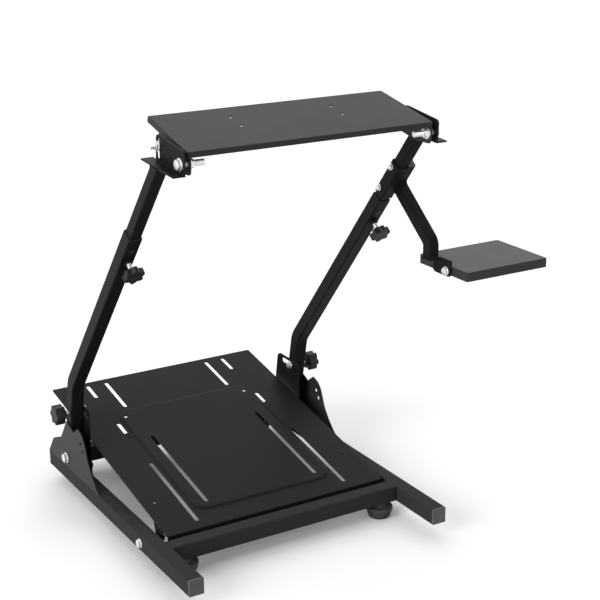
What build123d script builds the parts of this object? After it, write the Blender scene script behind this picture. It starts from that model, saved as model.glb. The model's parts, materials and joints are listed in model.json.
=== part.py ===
from build123d import *
import math
import os

# Folding racing wheel stand. Millimetres, +Z up, the driver sits on the -Y side and +X is the driver's right.
# Working coordinates: X from the plane of symmetry, Y from the front ends of the rails, Z from the floor.

# Base rails and cross tubes
stand_width = 500.0
rail_length = 589.0
rail_width = 27.0
rail_height = 29.0
tube_wall = 1.5
tube_corner = 2.0
cap_flange = 3.0
cap_round = 1.2
cap_plug = 12.0
cap_wall = 2.0
cap_play = 0.2
crossbar_depth = 28.0
front_crossbar_y = 126.0
rear_crossbar_setback = 19.0

# Rubber feet
foot_height = 27.0
foot_radius = 24.0
foot_sole_radius = 19.0
foot_shoulder = 5.0
foot_neck_radius = 12.0
foot_neck_height = 7.0
foot_inset = 27.0

# Gusset plates that carry the uprights; reaches are measured from the pivot, heights from the rail top
gusset_thickness = 2.0
upright_play = 0.5
pivot_setback = 89.0
pivot_above_rail = 18.0
pivot_bolt_radius = 5.0
lock_radius = 98.0
lock_bolt_radius = 4.0
fold_low = -15.0
fold_high = 12.0
transport_radius = 90.0
transport_angle_a = 53.0
transport_angle_b = 63.0
transport_hole_radius = 4.0
fin_foot_reach = 148.0
fin_toe_reach = 122.0
fin_toe_height = 22.0
fin_waist_reach = 100.0
fin_waist_height = 52.0
fin_brow_reach = 86.0
fin_brow_height = 82.0
fin_peak_radius = 98.0
fin_peak_angle = 37.0
fin_notch_radius = 75.0
fin_notch_start = 6.0
fin_notch_end = 32.0
fin_shoulder_reach = 62.0
fin_shoulder_height = 35.0
fin_step_reach = 22.0
fin_step_height = 52.0
fin_round = 7.0
cheek_reach = 51.0
cheek_top_reach = 30.0
cheek_shoulder_reach = 41.0
cheek_shoulder_height = 62.0
cheek_height = 126.0
cheek_margin = 3.0
cheek_round = 12.0

# Uprights
lower_size = 24.0
lower_wall = 1.2
upper_size = 20.0
upper_wall = 1.5
foot_lean = 10.9
mast_lean = 39.15
bend_distance = 158.9
bend_radius = 45.0
lower_length = 441.0
slide_travel = 120.0
upper_hold = 110.0

# Hand knobs and their studs
lock_knob_radius = 20.0
lock_knob_thickness = 18.0
clamp_knob_radius = 19.5
clamp_knob_thickness = 11.0
knob_lobes = 6
knob_notch_radius = 8.0
knob_notch_place = 1.12
knob_rim = 1.5
knob_round = 2.0
knob_neck_radius = 9.0
knob_neck = 4.0
lock_knob_gap = 5.0
clamp_from_end = 54.0
clamp_stud_radius = 4.0
clamp_stud_length = 18.0
clamp_nut_height = 6.0
clamp_tip_gap = 0.6

# Head brackets and wheel deck; setbacks are measured from the front edge of the head brackets
head_sheet = 2.5
head_flange_z = 675.0
head_tilt = 4.0
head_overhang = 9.5
head_ahead = 64.0
head_length = 109.0
head_gap = 5.0
head_rise_front = 38.0
head_rise_rear = 43.0
head_cheek_setback = 15.0
head_round = 7.0
deck_half_front = 219.5
deck_taper = 4.5
deck_depth = 147.0
deck_sheet = 2.0
deck_lip = 9.0
deck_corner = 4.0
deck_setback = 2.5
deck_front_z = 705.5
deck_tilt = 12.0
deck_pivot_setback = 12.5
deck_pivot_z = 687.0
deck_lock_radius = 73.0
deck_lock_angle = -78.4
deck_bolt_radius = 5.0
deck_bolt_tail = 20.0
deck_lock_bolt_radius = 4.0
deck_swing_down = 11.0
deck_swing_up = 6.0
deck_flange_front = 2.0
deck_flange_margin = 20.0
deck_flange_drop = 17.0
deck_flange_run = 34.0
deck_flange_inset = 0.5
deck_flange_round = 8.0
deck_hole_x = 91.5
deck_hole_depth = 72.0
deck_hole_pitch = 35.0
deck_hole_radius = 3.5

# Pedal plate; distances along the plate are measured from its front edge
pedal_gap = 7.0
pedal_length = 506.0
pedal_sheet = 2.0
pedal_corner = 3.0
pedal_lip = 12.0
pedal_front_y = 148.0
pedal_front_above_rail = 2.6
pedal_slope = 10.57
pedal_hinge_y = 181.0
pedal_hinge_height = 14.5
pedal_bolt_radius = 4.0
lug_radius = 9.0
lug_reach = 18.0
panel_width = 280.0
panel_start = 40.0
panel_length = 346.0
panel_round = 30.0
panel_raise = 3.0
panel_draft = 58.0
panel_crease = 5.0
slot_width = 8.0
inner_slot_x = 110.0
outer_slot_x = 148.0
front_inner_start = 60.0
front_inner_length = 223.0
front_outer_start = 20.0
front_outer_length = 189.0
middle_slot_start = 292.0
middle_slot_length = 58.0
rear_inner_start = 397.0
rear_inner_length = 97.0
rear_outer_start = 448.0
rear_outer_length = 47.0
pedal_hole_x = 127.0
pedal_hole_v = 361.0
pedal_hole_radius = 3.5
edge_hole_x = 193.0
edge_hole_v = 96.0
edge_hole_radius = 3.0

# Shifter arm and shifter plate
collar_wall = 2.0
collar_gap = 10.0
collar_length = 80.0
collar_play = 0.3
collar_corner = 3.0
arm_size = 20.0
arm_wall = 1.5
arm_height = 20.0
arm_back = 6.0
arm_stem_length = 51.0
arm_reach = 132.0
arm_leg = 27.0
arm_bend_radius = 16.0
shifter_gap = 9.2
shifter_width = 172.0
shifter_depth = 136.0
shifter_below_arm = 11.0
shifter_sheet = 2.0
shifter_skirt = 16.0
shifter_corner = 4.0
shifter_round = 1.5
shifter_bolt_ahead = 23.5
shifter_bolt_setback = 54.0
shifter_bolt_below = 9.5
shifter_bolt_radius = 4.0
bracket_sheet = 3.0
bracket_margin = 12.0
bracket_rim = 9.0
bracket_lap = 4.0
bracket_round = 7.0

# Clearances and fasteners
running_fit = 0.05
hole_play = 0.3
plate_play = 0.5
slot_play = 1.0
slot_angle_play = 1.0
head_ratio = 1.7
head_height_ratio = 1.1
cut = 1.0

half_width = stand_width / 2
rail_x = half_width - rail_width / 2
rail_inner = half_width - rail_width
rail_bottom = foot_height
rail_top = rail_bottom + rail_height
rail_middle = rail_bottom + rail_height / 2
rear_crossbar_y = rail_length - rear_crossbar_setback
foot_x = rail_inner - foot_inset
mast_x = half_width - gusset_thickness - upright_play - lower_size / 2
cheek_x = rail_inner - gusset_thickness
pivot_y = rail_length - pivot_setback
pivot_z = rail_top + pivot_above_rail
hinge_z = rail_bottom + pedal_hinge_height


def rounded_tube(width, height, wall, length, corner):
    outer = RectangleRounded(width, height, corner)
    inner = RectangleRounded(width - 2 * wall, height - 2 * wall, max(corner - wall, 0.4))
    return extrude(outer - inner, length)


def bent_tube(size, wall, path):
    start = Plane(origin=path @ 0, x_dir=(1, 0, 0), z_dir=path % 0)
    outer = start * RectangleRounded(size, size, tube_corner)
    inner = start * RectangleRounded(size - 2 * wall, size - 2 * wall, max(tube_corner - wall, 0.4))
    return sweep(outer, path=path) - sweep(inner, path=path)


def along_y(shape, y):
    return Pos(0, y, 0) * Rot(-90, 0, 0) * shape


def plate_at(x, face, thickness):
    return Pos(x, 0, 0) * extrude(Plane.YZ * face, thickness)


def x_cylinder(radius, x0, x1, y, z):
    solid = Cylinder(radius, abs(x1 - x0))
    return Pos((x0 + x1) / 2, y, z) * Rot(0, 90, 0) * solid


def x_hex(radius, x0, x1, y, z):
    solid = extrude(RegularPolygon(radius, 6), abs(x1 - x0) / 2, both=True)
    return Pos((x0 + x1) / 2, y, z) * Rot(0, 90, 0) * solid


def x_bolt(radius, inner_x, outer_x, y, z, tail=0):
    head = radius * head_ratio
    height = radius * head_height_ratio
    bolt = x_cylinder(radius, inner_x - height - tail, outer_x + height, y, z)
    bolt += x_hex(head, inner_x - height, inner_x, y, z)
    bolt += x_hex(head, outer_x, outer_x + height, y, z)
    return bolt


def mirrored(shape):
    return mirror(shape, about=Plane.YZ)


def polar(y, z, radius, angle):
    return (y - radius * math.sin(math.radians(angle)), z + radius * math.cos(math.radians(angle)))


def arc_slot(y, z, radius, start, end, width, x0, x1):
    first = polar(y, z, radius, start)
    middle = polar(y, z, radius, (start + end) / 2)
    last = polar(y, z, radius, end)
    face = SlotArc(ThreePointArc(first, middle, last), width)
    return plate_at(x0, face, x1 - x0)


def star_knob(radius, thickness):
    outline = Circle(radius - knob_rim)
    for notch in PolarLocations(knob_notch_place * radius, knob_lobes):
        outline -= notch * Circle(knob_notch_radius)
    head = Pos(0, 0, knob_neck) * extrude(outline, thickness)
    head = fillet(head.faces().sort_by(Axis.Z)[-1].edges(), knob_round)
    neck = Pos(0, 0, knob_neck / 2) * Cylinder(knob_neck_radius, knob_neck)
    return head + neck


parts = {}

# Right rail, its end caps and the cross tubes
rail_tube = rounded_tube(rail_width, rail_height, tube_wall, rail_length - 2 * cap_flange, tube_corner)
right_rail = Pos(rail_x, 0, rail_middle) * along_y(rail_tube, cap_flange)
right_rail -= x_cylinder(
    pedal_bolt_radius + hole_play, rail_inner - cut, half_width + cut, pedal_hinge_y, hinge_z
)
parts["right_rail"] = right_rail

cap = extrude(RectangleRounded(rail_width, rail_height, tube_corner), cap_flange)
cap = fillet(cap.faces().sort_by(Axis.Z)[0].edges(), cap_round)
plug_width = rail_width - 2 * tube_wall - 2 * cap_play
plug_height = rail_height - 2 * tube_wall - 2 * cap_play
cap += Pos(0, 0, cap_flange) * rounded_tube(plug_width, plug_height, cap_wall, cap_plug, tube_corner / 2)
front_cap = Pos(rail_x, 0, rail_middle) * along_y(cap, 0)
parts["right_front_cap"] = front_cap
parts["right_rear_cap"] = mirror(front_cap, about=Plane.XZ.offset(-rail_length / 2))

crossbar = rounded_tube(crossbar_depth, rail_height, tube_wall, 2 * rail_inner, tube_corner)
crossbar = Pos(-rail_inner, 0, rail_middle) * Rot(0, 90, 0) * Rot(0, 0, 90) * crossbar
parts["front_crossbar"] = Pos(0, front_crossbar_y, 0) * crossbar
parts["rear_crossbar"] = Pos(0, rear_crossbar_y, 0) * crossbar

# Rubber feet under the cross tubes, tapering to the sole
foot_pad = foot_height - foot_neck_height
foot_profile = make_face(
    Polyline(
        (0, 0),
        (foot_sole_radius, 0),
        (foot_radius, foot_pad - foot_shoulder),
        (foot_radius, foot_pad),
        (foot_neck_radius, foot_pad),
        (foot_neck_radius, foot_height),
        (0, foot_height),
        close=True,
    )
)
foot = revolve(Plane.XZ * foot_profile, Axis.Z)
parts["front_right_foot"] = Pos(foot_x, front_crossbar_y, 0) * foot
parts["rear_right_foot"] = Pos(foot_x, rear_crossbar_y, 0) * foot

# Outer gusset: a low fin whose notch lets the lock bolt swing
notch_in = polar(pivot_y, pivot_z, fin_notch_radius, fin_notch_start)
notch_low = polar(pivot_y, pivot_z, fin_notch_radius, (fin_notch_start + fin_notch_end) / 2)
notch_out = polar(pivot_y, pivot_z, fin_notch_radius, fin_notch_end)
fin_peak = polar(pivot_y, pivot_z, fin_peak_radius, fin_peak_angle)
fin_heel = (rail_length, rail_top)
fin_foot = (pivot_y - fin_foot_reach, rail_top)
fin_rear = FilletPolyline(
    fin_heel,
    (pivot_y + fin_shoulder_reach, rail_top + fin_shoulder_height),
    (pivot_y + fin_step_reach, rail_top + fin_step_height),
    notch_in,
    radius=fin_round,
)
fin_front = Spline(
    fin_peak,
    (pivot_y - fin_brow_reach, rail_top + fin_brow_height),
    (pivot_y - fin_waist_reach, rail_top + fin_waist_height),
    (pivot_y - fin_toe_reach, rail_top + fin_toe_height),
    fin_foot,
)
fin_notch = ThreePointArc(notch_in, notch_low, notch_out)
fin_face = make_face([fin_rear, fin_notch, Line(notch_out, fin_peak), fin_front, Line(fin_foot, fin_heel)])
fin_x = half_width - gusset_thickness
fin = plate_at(fin_x, fin_face, gusset_thickness)
fin -= x_cylinder(pivot_bolt_radius + hole_play, fin_x - cut, half_width + cut, pivot_y, pivot_z)
for angle in (transport_angle_a, transport_angle_b):
    hole_y, hole_z = polar(pivot_y, pivot_z, transport_radius, angle)
    fin -= x_cylinder(transport_hole_radius, fin_x - cut, half_width + cut, hole_y, hole_z)
parts["right_outer_gusset"] = fin

# Inner gusset: a tall cheek with the arc slot of the lock bolt
cheek_bottom = rail_bottom + cheek_margin
cheek_front = (pivot_y - cheek_reach, cheek_bottom)
cheek_rear = (pivot_y + cheek_reach, cheek_bottom)
cheek_outline = FilletPolyline(
    cheek_front,
    (pivot_y - cheek_reach, rail_top + cheek_height),
    (pivot_y + cheek_top_reach, rail_top + cheek_height),
    (pivot_y + cheek_shoulder_reach, rail_top + cheek_shoulder_height),
    cheek_rear,
    radius=cheek_round,
)
cheek = plate_at(cheek_x, make_face([cheek_outline, Line(cheek_rear, cheek_front)]), gusset_thickness)
cheek -= x_cylinder(pivot_bolt_radius + hole_play, cheek_x - cut, rail_inner + cut, pivot_y, pivot_z)
cheek -= arc_slot(
    pivot_y,
    pivot_z,
    lock_radius,
    foot_lean + fold_low - slot_angle_play,
    foot_lean + fold_high + slot_angle_play,
    2 * (lock_bolt_radius + slot_play),
    cheek_x - cut,
    rail_inner + cut,
)
parts["right_inner_gusset"] = cheek
parts["right_pivot_bolt"] = x_bolt(pivot_bolt_radius, cheek_x, half_width, pivot_y, pivot_z)

# Lower upright: a bent square tube, rounded at its pivot
bend = polar(pivot_y, pivot_z, bend_distance, foot_lean)
lower_end = polar(bend[0], bend[1], lower_length, mast_lean)
tail = polar(pivot_y, pivot_z, -lower_size / 2, foot_lean)
lower_path = FilletPolyline((0, *tail), (0, *bend), (0, *lower_end), radius=bend_radius)
lower_tube = bent_tube(lower_size, lower_wall, lower_path)
at_tail = (Align.CENTER, Align.CENTER, Align.MIN)
foot_turn = Rot(foot_lean, 0, 0)
tail_block = Pos(0, *tail) * foot_turn * Box(2 * lower_size, 2 * lower_size, lower_size, align=at_tail)
tail_round = Rot(0, 90, 0) * Cylinder(lower_size / 2, 3 * lower_size)
tail_round += foot_turn * Box(3 * lower_size, 3 * lower_size, lower_size, align=at_tail)
lower_tube -= tail_block - Pos(0, pivot_y, pivot_z) * tail_round
lower_tube = Pos(mast_x, 0, 0) * lower_tube
lower_tube -= x_cylinder(pivot_bolt_radius + running_fit, cheek_x, half_width, pivot_y, pivot_z)
lock_y, lock_z = polar(pivot_y, pivot_z, lock_radius, foot_lean)
lower_tube -= x_cylinder(lock_bolt_radius + hole_play, cheek_x, half_width, lock_y, lock_z)
lean = math.radians(mast_lean)
front_dir = Vector(0, -math.cos(lean), -math.sin(lean))
mast_dir = Vector(0, -math.sin(lean), math.cos(lean))
clamp_axis = polar(bend[0], bend[1], lower_length - clamp_from_end, mast_lean)
clamp_plane = Plane(origin=(mast_x, *clamp_axis), x_dir=(1, 0, 0), z_dir=front_dir)
clamp_hole = Cylinder(clamp_stud_radius + hole_play, 4 * lower_wall)
lower_tube -= clamp_plane * Pos(0, 0, lower_size / 2) * clamp_hole
parts["right_lower_tube"] = lower_tube

# Lock bolt through the upright and its knob outside
lock_head_x = cheek_x - upright_play
lock_head_height = lock_bolt_radius * head_height_ratio
knob_start = half_width + lock_knob_gap
lock_bolt = x_cylinder(lock_bolt_radius, lock_head_x, knob_start, lock_y, lock_z)
lock_bolt += x_hex(lock_bolt_radius * head_ratio, lock_head_x - lock_head_height, lock_head_x, lock_y, lock_z)
parts["right_lock_bolt"] = lock_bolt
lock_knob = star_knob(lock_knob_radius, lock_knob_thickness)
parts["right_lock_knob"] = Pos(knob_start, lock_y, lock_z) * Rot(0, 90, 0) * lock_knob

# Clamp stud and knob on the front face of each lower tube
stud_start = upper_size / 2 + clamp_tip_gap
stud_end = lower_size / 2 + clamp_stud_length
stud = Pos(0, 0, (stud_start + stud_end) / 2) * Cylinder(clamp_stud_radius, stud_end - stud_start)
clamp_nut = extrude(RegularPolygon(clamp_stud_radius * head_ratio, 6), clamp_nut_height)
stud += Pos(0, 0, lower_size / 2) * clamp_nut
parts["right_clamp_stud"] = clamp_plane * stud
clamp_knob = star_knob(clamp_knob_radius, clamp_knob_thickness)
parts["right_clamp_knob"] = clamp_plane * Pos(0, 0, stud_end) * clamp_knob

# Upper upright, cut off under the flange of its head bracket
flange_z = rail_bottom + head_flange_z
upper_inside = slide_travel + upper_hold
upper_start = polar(bend[0], bend[1], lower_length - upper_inside, mast_lean)
upper_reach = (flange_z - upper_start[1]) / math.cos(lean)
mast_top = polar(*upper_start, upper_reach, mast_lean)
upper_plane = Plane(origin=(mast_x, *upper_start), x_dir=(1, 0, 0), z_dir=mast_dir)
upper_blank = rounded_tube(upper_size, upper_size, upper_wall, upper_reach + upper_size, tube_corner)
upper_tube = upper_plane * upper_blank
head_turn = Pos(0, *mast_top) * Rot(head_tilt, 0, 0)
upper_tube = split(upper_tube, bisect_by=Plane(head_turn), keep=Keep.BOTTOM)
parts["right_upper_tube"] = upper_tube

# Head bracket: a tilted angle whose cheek carries the deck
head_x = deck_half_front + head_gap
head_out = head_x + head_sheet
head_front_y = mast_top[0] - head_ahead
deck_pivot_y = head_front_y + deck_pivot_setback
deck_pivot_height = rail_bottom + deck_pivot_z
deck_lock_y, deck_lock_z = polar(deck_pivot_y, deck_pivot_height, deck_lock_radius, deck_lock_angle)
head_cheek_rear = head_length - head_ahead - head_cheek_setback
head_outline = FilletPolyline(
    (-head_ahead, 0),
    (-head_ahead, head_rise_front),
    (head_cheek_rear, head_rise_rear),
    (head_cheek_rear, 0),
    radius=head_round,
)
head_face = make_face([head_outline, Line((head_cheek_rear, 0), (-head_ahead, 0))])
head_flange_in = min(head_x, mast_x - head_overhang)
head_flange_out = max(head_out, mast_x + head_overhang)
head = plate_at(head_x, head_face, head_sheet)
head += Pos(head_flange_in, -head_ahead, 0) * Box(
    head_flange_out - head_flange_in, head_length, head_sheet, align=(Align.MIN, Align.MIN, Align.MIN)
)
head = head_turn * head
head -= x_cylinder(
    deck_bolt_radius + hole_play, head_x - cut, head_out + cut, deck_pivot_y, deck_pivot_height
)
head -= arc_slot(
    deck_pivot_y,
    deck_pivot_height,
    deck_lock_radius,
    deck_lock_angle - deck_swing_down - slot_angle_play,
    deck_lock_angle + deck_swing_up + slot_angle_play,
    2 * (deck_lock_bolt_radius + slot_play),
    head_x - cut,
    head_out + cut,
)
parts["right_head_bracket"] = head

# Wheel deck: folded sheet with lips, bolt holes and side flanges
slope = math.radians(deck_tilt)
deck_front_y = head_front_y + deck_setback
deck_edge_z = rail_bottom + deck_front_z
deck_half_rear = deck_half_front - deck_taper
deck_plane = Plane(
    origin=(0, deck_front_y, deck_edge_z), x_dir=(1, 0, 0), z_dir=(0, -math.sin(slope), math.cos(slope))
)
deck_corners = Polyline(
    (-deck_half_front, 0),
    (deck_half_front, 0),
    (deck_half_rear, deck_depth),
    (-deck_half_rear, deck_depth),
    close=True,
)
deck_outline = make_face(deck_corners)
deck_outline = fillet(deck_outline.vertices(), deck_corner)
deck = extrude(deck_outline, -deck_lip)
deck = fillet(deck.faces().sort_by(Axis.Z)[-1].edges(), deck_sheet)
deck -= Pos(0, 0, -deck_sheet) * extrude(offset(deck_outline, -deck_sheet), -deck_lip)
for hole in GridLocations(2 * deck_hole_x, deck_hole_pitch, 2, 2):
    hole_middle = Pos(0, deck_hole_depth + deck_hole_pitch / 2)
    deck -= hole_middle * hole * Cylinder(deck_hole_radius, 4 * deck_sheet)
deck = deck_plane * deck
flange_front_y = head_front_y + deck_flange_front
flange_rear_y = deck_lock_y + deck_flange_margin
flange_outer = deck_half_front - deck_taper * (flange_rear_y - deck_front_y) / deck_depth - deck_flange_inset
flange_inner = flange_outer - deck_sheet
flange_front_top = deck_edge_z + math.tan(slope) * (flange_front_y - deck_front_y) - deck_sheet / 2
flange_rear_top = deck_edge_z + math.tan(slope) * (flange_rear_y - deck_front_y) - deck_sheet / 2
flange_outline = FilletPolyline(
    (flange_front_y, flange_front_top),
    (flange_front_y, deck_pivot_height - deck_flange_drop),
    (deck_pivot_y + deck_flange_run, deck_pivot_height - deck_flange_drop),
    (flange_rear_y, deck_lock_z - deck_flange_margin),
    (flange_rear_y, flange_rear_top),
    radius=deck_flange_round,
)
flange_top = Line((flange_rear_y, flange_rear_top), (flange_front_y, flange_front_top))
flange = plate_at(flange_inner, make_face([flange_outline, flange_top]), deck_sheet)
flange -= x_cylinder(
    deck_bolt_radius + running_fit, flange_inner - cut, flange_outer + cut, deck_pivot_y, deck_pivot_height
)
flange -= x_cylinder(
    deck_lock_bolt_radius + hole_play, flange_inner - cut, flange_outer + cut, deck_lock_y, deck_lock_z
)
parts["wheel_deck"] = deck + flange + mirrored(flange)
parts["right_deck_pivot_bolt"] = x_bolt(
    deck_bolt_radius, flange_inner - plate_play, head_out, deck_pivot_y, deck_pivot_height, deck_bolt_tail
)
parts["right_deck_lock_bolt"] = x_bolt(
    deck_lock_bolt_radius, flange_inner, head_out + plate_play, deck_lock_y, deck_lock_z
)

# Pedal plate: pressed sheet with a raised panel, slots, holes, a folded front lip and hinge lugs
tilt = math.radians(pedal_slope)
pedal_half_width = rail_inner - pedal_gap
pedal_edge_z = rail_top + pedal_front_above_rail
pedal_plane = Plane(
    origin=(0, pedal_front_y, pedal_edge_z), x_dir=(1, 0, 0), z_dir=(0, -math.sin(tilt), math.cos(tilt))
)
sheet = Pos(0, pedal_length / 2) * RectangleRounded(2 * pedal_half_width, pedal_length, pedal_corner)
panel = Pos(0, panel_start + panel_length / 2) * RectangleRounded(panel_width, panel_length, panel_round)
press = extrude(panel, panel_raise, taper=panel_draft)
plate = extrude(sheet, -pedal_sheet) + press
level_faces = plate.faces().filter_by(Axis.Z).sort_by(Axis.Z)
creases = level_faces[-1].edges() + level_faces[-2].inner_wires()[0].edges()
plate = fillet(creases, panel_crease)
plate -= Pos(0, 0, -pedal_sheet) * press
lip_width = 2 * (pedal_half_width - pedal_corner)
plate += Box(lip_width, pedal_sheet, pedal_lip, align=(Align.CENTER, Align.MIN, Align.MAX))
through = pedal_sheet + panel_raise + cut
slots = (
    (inner_slot_x, front_inner_start, front_inner_length),
    (outer_slot_x, front_outer_start, front_outer_length),
    (outer_slot_x, middle_slot_start, middle_slot_length),
    (inner_slot_x, rear_inner_start, rear_inner_length),
    (outer_slot_x, rear_outer_start, rear_outer_length),
)
holes = (
    (pedal_hole_x, pedal_hole_v, pedal_hole_radius),
    (edge_hole_x, edge_hole_v, edge_hole_radius),
)
for side in (-1, 1):
    for slot_x, slot_start, slot_length in slots:
        slot = Rot(0, 0, 90) * SlotOverall(slot_length, slot_width)
        plate -= extrude(Pos(side * slot_x, slot_start + slot_length / 2) * slot, through, both=True)
    for hole_x, hole_v, hole_radius in holes:
        plate -= Pos(side * hole_x, hole_v) * Cylinder(hole_radius, 2 * through)
plate = pedal_plane * plate
lug_rise = lug_reach * math.tan(tilt)
lug_top = pedal_edge_z + math.tan(tilt) * (pedal_hinge_y - pedal_front_y) - pedal_sheet / 2
lug_face = make_face(
    Polyline(
        (pedal_hinge_y - lug_reach, lug_top - lug_rise),
        (pedal_hinge_y - lug_radius, hinge_z),
        (pedal_hinge_y + lug_radius, hinge_z),
        (pedal_hinge_y + lug_reach, lug_top + lug_rise),
        close=True,
    )
)
lug_face += Pos(pedal_hinge_y, hinge_z) * Circle(lug_radius)
lug_inner = pedal_half_width - pedal_sheet
lug = plate_at(lug_inner, lug_face, pedal_sheet)
lug -= x_cylinder(
    pedal_bolt_radius + running_fit, lug_inner - cut, pedal_half_width + cut, pedal_hinge_y, hinge_z
)
parts["pedal_plate"] = plate + lug + mirrored(lug)
parts["right_hinge_bolt"] = x_bolt(
    pedal_bolt_radius, lug_inner - plate_play, half_width, pedal_hinge_y, hinge_z
)

# Everything above on the right has its mirror image on the left
for name in list(parts):
    if "right" in name:
        parts[name.replace("right", "left")] = mirrored(parts[name])

# Shifter collar on the right upper tube
collar_size = upper_size + 2 * (collar_wall + collar_play)
collar_base = Vector(mast_x, *polar(bend[0], bend[1], lower_length + collar_gap, mast_lean))
collar_plane = Plane(origin=collar_base, x_dir=(1, 0, 0), z_dir=mast_dir)
parts["shifter_collar"] = collar_plane * rounded_tube(
    collar_size, collar_size, collar_wall, collar_length, collar_corner
)

# Shifter arm: its stem is welded along the collar, then it runs square to the upright and down to its foot
arm_x = mast_x + collar_size / 2 + arm_size / 2
arm_corner = collar_base + mast_dir * arm_height - front_dir * arm_back
arm_top = arm_corner + mast_dir * arm_stem_length
arm_knee = arm_corner + front_dir * arm_reach
arm_foot_z = arm_knee.Z - arm_leg
arm_path = FilletPolyline(
    (arm_x, arm_top.Y, arm_top.Z),
    (arm_x, arm_corner.Y, arm_corner.Z),
    (arm_x, arm_knee.Y, arm_knee.Z),
    (arm_x, arm_knee.Y, arm_foot_z),
    radius=arm_bend_radius,
)
parts["shifter_arm"] = bent_tube(arm_size, arm_wall, arm_path)

# Foot bracket of the arm: a pad under the tube and a cheek beside the shifter plate
shifter_left_x = arm_x + arm_size / 2 + shifter_gap
shifter_top = arm_foot_z - shifter_below_arm
shifter_bolt_y = arm_knee.Y - shifter_bolt_ahead
shifter_bolt_z = shifter_top - shifter_bolt_below
shifter_front_y = shifter_bolt_y - shifter_bolt_setback
bracket_out = shifter_left_x - plate_play
bracket_in = bracket_out - bracket_sheet
bracket_rear_y = arm_knee.Y + arm_size / 2 + bracket_lap
bracket_front_y = shifter_bolt_y - bracket_margin
bracket_low_z = shifter_bolt_z - bracket_rim
pad_left = arm_x - arm_size / 2
pad_front = arm_knee.Y - arm_size / 2
bracket_outline = FilletPolyline(
    (bracket_rear_y, arm_foot_z),
    (bracket_rear_y, bracket_low_z),
    (bracket_front_y, bracket_low_z),
    (bracket_front_y, arm_foot_z),
    radius=bracket_round,
)
bracket_top = Line((bracket_front_y, arm_foot_z), (bracket_rear_y, arm_foot_z))
bracket = plate_at(bracket_in, make_face([bracket_outline, bracket_top]), bracket_sheet)
bracket += Pos(pad_left, pad_front, arm_foot_z) * Box(
    bracket_out - pad_left, bracket_rear_y - pad_front, bracket_sheet, align=(Align.MIN, Align.MIN, Align.MAX)
)
bracket -= x_cylinder(
    shifter_bolt_radius + hole_play, bracket_in - cut, bracket_out + cut, shifter_bolt_y, shifter_bolt_z
)
parts["shifter_bracket"] = bracket

# Shifter plate: a tray with folded edges, held by one bolt
tray_middle = Pos(shifter_left_x + shifter_width / 2, shifter_front_y + shifter_depth / 2)
tray_face = tray_middle * RectangleRounded(shifter_width, shifter_depth, shifter_corner)
tray = Pos(0, 0, shifter_top) * extrude(tray_face, -shifter_skirt)
tray = fillet(tray.faces().sort_by(Axis.Z)[-1].edges(), shifter_round)
tray -= Pos(0, 0, shifter_top - shifter_sheet) * extrude(offset(tray_face, -shifter_sheet), -shifter_skirt)
tray_inner = shifter_left_x + shifter_sheet
tray -= x_cylinder(
    shifter_bolt_radius + running_fit, shifter_left_x - cut, tray_inner + cut, shifter_bolt_y, shifter_bolt_z
)
parts["shifter_plate"] = tray
parts["shifter_bolt"] = x_bolt(
    shifter_bolt_radius, bracket_in, tray_inner + plate_play, shifter_bolt_y, shifter_bolt_z
)

# Shared frame: origin under the middle of the bounding box, on the floor
box = Compound(children=[Compound(s.solids()) for s in parts.values()]).bounding_box()
shift = Pos(-(box.min.X + box.max.X) / 2, -(box.min.Y + box.max.Y) / 2, -box.min.Z)
os.makedirs("parts", exist_ok=True)
for name, shape in parts.items():
    export_step(shift * shape, f"parts/{name}.step")
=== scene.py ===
"""Looks of a folding racing wheel stand: finishes, hardware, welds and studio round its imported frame."""

import json
import math

import bmesh
import bpy
from bpy.props import FloatProperty, FloatVectorProperty, IntProperty, PointerProperty
from bpy.types import Operator, Panel, PropertyGroup
from mathutils import Matrix, Vector


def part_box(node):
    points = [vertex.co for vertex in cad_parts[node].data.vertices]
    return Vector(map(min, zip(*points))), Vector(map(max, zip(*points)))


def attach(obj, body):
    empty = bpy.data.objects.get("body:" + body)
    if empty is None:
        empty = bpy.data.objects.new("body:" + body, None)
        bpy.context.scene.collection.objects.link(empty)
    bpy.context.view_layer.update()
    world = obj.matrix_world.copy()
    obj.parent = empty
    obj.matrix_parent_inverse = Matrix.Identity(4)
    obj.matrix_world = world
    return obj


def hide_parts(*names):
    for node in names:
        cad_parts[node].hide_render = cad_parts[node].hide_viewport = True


bl_info = {
    "name": "Racing Wheel Stand",
    "version": (1, 0, 0),
    "blender": (4, 5, 0),
    "location": "View3D > Sidebar > Stand",
    "description": "Finishes, hardware, welds and studio of a folding racing wheel stand",
    "category": "Object",
}

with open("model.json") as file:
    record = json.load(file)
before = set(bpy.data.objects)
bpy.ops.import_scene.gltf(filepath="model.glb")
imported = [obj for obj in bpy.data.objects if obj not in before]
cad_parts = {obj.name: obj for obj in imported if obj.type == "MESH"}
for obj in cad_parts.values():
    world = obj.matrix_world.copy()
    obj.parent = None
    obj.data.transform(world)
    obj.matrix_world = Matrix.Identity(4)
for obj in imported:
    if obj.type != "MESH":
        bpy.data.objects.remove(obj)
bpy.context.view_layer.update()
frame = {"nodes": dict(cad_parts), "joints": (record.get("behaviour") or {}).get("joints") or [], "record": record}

ACROSS = Vector((1, 0, 0))
UP = Vector((0, 0, 1))
SLIDE = next(joint for joint in frame["joints"] if joint["name"] == "mast_slide")
MAST = Vector(SLIDE["axis"]).normalized()
FRONT = ACROSS.cross(MAST)
SLOT_OF = {row["node"]: row["material_slot"] for row in frame["record"]["subparts"]}
SIDES = (("left", -1), ("right", 1))
MIDDLE_X = (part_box("left_rail")[0].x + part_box("right_rail")[1].x) / 2
RAIL_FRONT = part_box("left_front_cap")[0].y
MAST_TURN = Matrix((ACROSS, FRONT, MAST)).transposed()
ALONG = 0.9  # how nearly along an axis a face or an edge points when it is picked

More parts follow.
